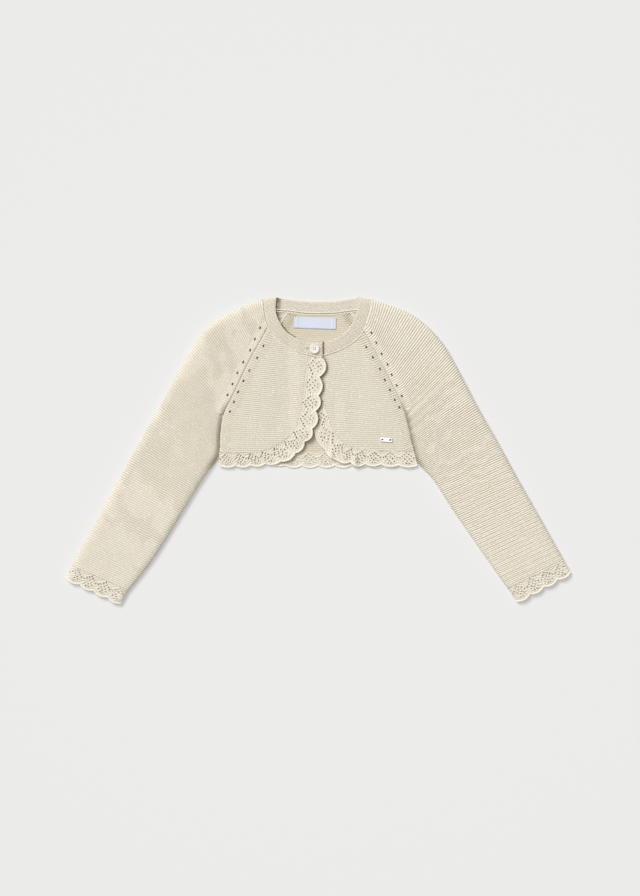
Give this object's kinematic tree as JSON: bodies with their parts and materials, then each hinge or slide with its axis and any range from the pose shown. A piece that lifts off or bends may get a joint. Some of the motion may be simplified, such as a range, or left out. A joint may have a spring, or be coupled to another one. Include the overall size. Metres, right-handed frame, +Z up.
{
  "type": "bolero jacket",
  "caption": "Child's cream knitted bolero jacket with long raglan sleeves, scalloped lace edging and a button at the neck, laid flat.",
  "frame": {"origin": "centre of the laid garment's outline in plan, on the surface it lies on", "axes": "+X towards the wearer's left, which is the right of the picture; +Y towards the neck; +Z up from the surface"},
  "size_m": [0.6578, 0.3994, 0.0115],
  "materials": {
    "knit": "matt ridged cotton knit with a fine glitter thread",
    "band": "matt plain knit, doubled",
    "lace": "matt openwork knit with a rolled rim",
    "pearl": "pearly, glossy",
    "steel": "polished",
    "woven": "smooth woven satin, blank"
  },
  "bodies": {
    "root": {"back_panel": "knit", "front_right": "knit", "front_left": "knit", "sleeve_right_over": "knit", "sleeve_right_under": "knit", "sleeve_left_over": "knit", "sleeve_left_under": "knit", "neckband_right": "band", "neckband_left": "band", "neckband_back": "band", "lace_front_right": "lace", "lace_front_left": "lace", "lace_back": "lace", "lace_cuff_right_over": "lace", "lace_cuff_right_under": "lace", "lace_cuff_left_over": "lace", "lace_cuff_left_under": "lace", "button": "pearl", "plaque": "steel", "neck_label": "woven"}
  },
  "joints": []
}
